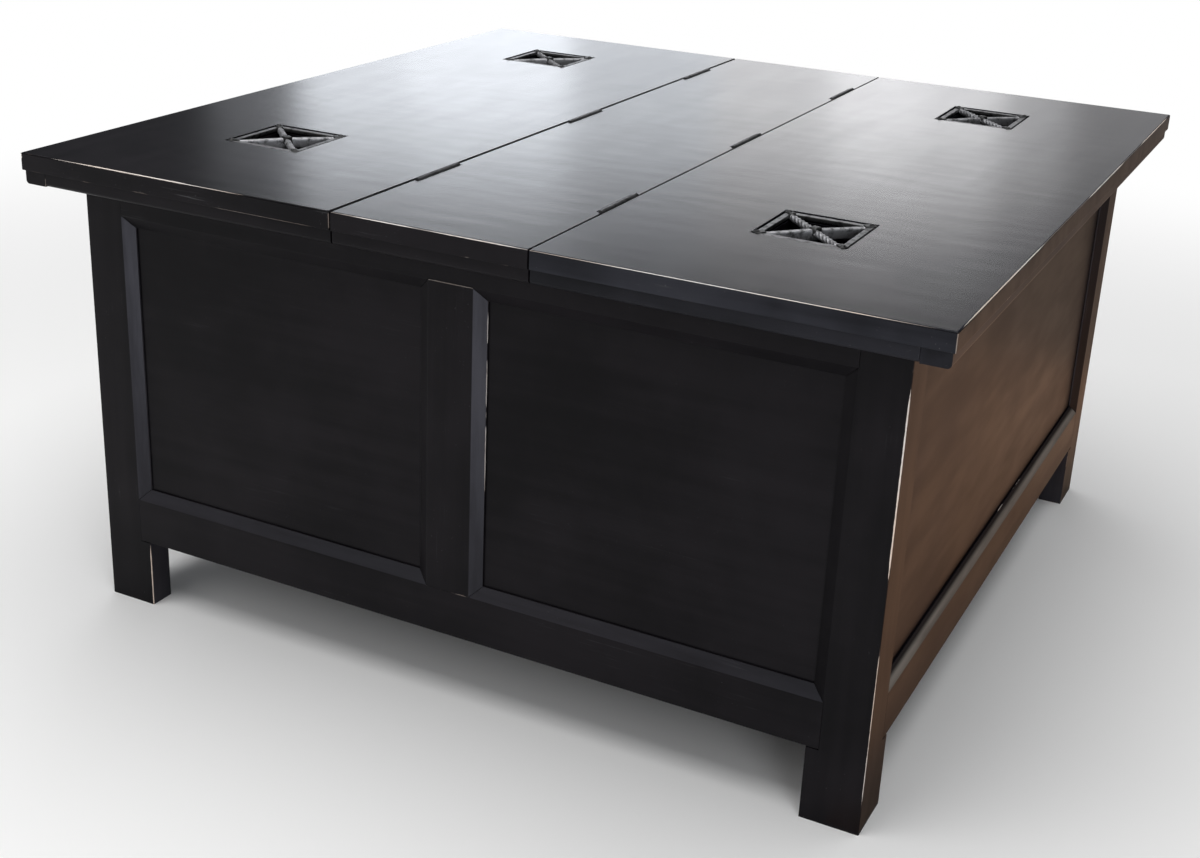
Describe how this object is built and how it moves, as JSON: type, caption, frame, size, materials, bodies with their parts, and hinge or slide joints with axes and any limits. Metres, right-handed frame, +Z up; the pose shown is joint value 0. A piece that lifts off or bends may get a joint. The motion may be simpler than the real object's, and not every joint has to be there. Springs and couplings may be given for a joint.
{
  "type": "storage coffee table",
  "caption": "Square black storage coffee table: a panelled chest on short legs, its top a fixed centre board between hinged lids with iron cross grilles.",
  "frame": {"origin": "on the floor, under the middle of the square top", "axes": "+Z up; -Y towards the viewer, out of the face with two panels; +X to the right of that face"},
  "size_m": [0.95, 0.95, 0.5024],
  "materials": {
    "black_paint": "satin black paint over wood, worn through at the arrises",
    "black_stain": "matt black stain inside the chest",
    "forged_iron": "blackened, hammered",
    "hinge_steel": "blackened, bright where it rubs"
  },
  "bodies": {
    "chest": {"front_left_leg": "black_paint", "front_right_leg": "black_paint", "back_right_leg": "black_paint", "back_left_leg": "black_paint", "front_bottom_rail": "black_paint", "front_top_rail": "black_paint", "right_bottom_rail": "black_paint", "right_top_rail": "black_paint", "back_bottom_rail": "black_paint", "back_top_rail": "black_paint", "left_bottom_rail": "black_paint", "left_top_rail": "black_paint", "front_mullion": "black_paint", "back_mullion": "black_paint", "front_panel_a": "black_paint", "front_panel_b": "black_paint", "back_panel_a": "black_paint", "back_panel_b": "black_paint", "right_panel": "black_paint", "left_panel": "black_paint", "chest_floor": "black_stain", "left_bearer": "black_stain", "right_bearer": "black_stain", "centre_board": "black_paint", "centre_front_lipping": "black_paint", "centre_back_lipping": "black_paint", "left_front_hinge_fixed_leaf": "hinge_steel", "left_front_hinge_pin": "hinge_steel", "left_middle_hinge_fixed_leaf": "hinge_steel", "left_middle_hinge_pin": "hinge_steel", "left_back_hinge_fixed_leaf": "hinge_steel", "left_back_hinge_pin": "hinge_steel", "right_front_hinge_fixed_leaf": "hinge_steel", "right_front_hinge_pin": "hinge_steel", "right_middle_hinge_fixed_leaf": "hinge_steel", "right_middle_hinge_pin": "hinge_steel", "right_back_hinge_fixed_leaf": "hinge_steel", "right_back_hinge_pin": "hinge_steel"},
    "left_lid": {"left_lid_board": "black_paint", "left_lid_side_lipping": "black_paint", "left_lid_front_lipping": "black_paint", "left_lid_back_lipping": "black_paint", "left_front_grille_frame": "forged_iron", "left_front_grille_cross": "forged_iron", "left_back_grille_frame": "forged_iron", "left_back_grille_cross": "forged_iron", "left_front_hinge_lid_leaf": "hinge_steel", "left_middle_hinge_lid_leaf": "hinge_steel", "left_back_hinge_lid_leaf": "hinge_steel"},
    "right_lid": {"right_lid_board": "black_paint", "right_lid_side_lipping": "black_paint", "right_lid_front_lipping": "black_paint", "right_lid_back_lipping": "black_paint", "right_front_grille_frame": "forged_iron", "right_front_grille_cross": "forged_iron", "right_back_grille_frame": "forged_iron", "right_back_grille_cross": "forged_iron", "right_front_hinge_lid_leaf": "hinge_steel", "right_middle_hinge_lid_leaf": "hinge_steel", "right_back_hinge_lid_leaf": "hinge_steel"}
  },
  "joints": [
    {"name": "left_lid_hinge", "type": "hinge", "parent": "chest", "child": "left_lid", "pos_m": [-0.0996, 0, 0.499], "axis": [0, 1, 0], "range_deg": [0, 100]},
    {"name": "right_lid_hinge", "type": "hinge", "parent": "chest", "child": "right_lid", "pos_m": [0.0996, 0, 0.499], "axis": [0, -1, 0], "range_deg": [0, 100]}
  ]
}
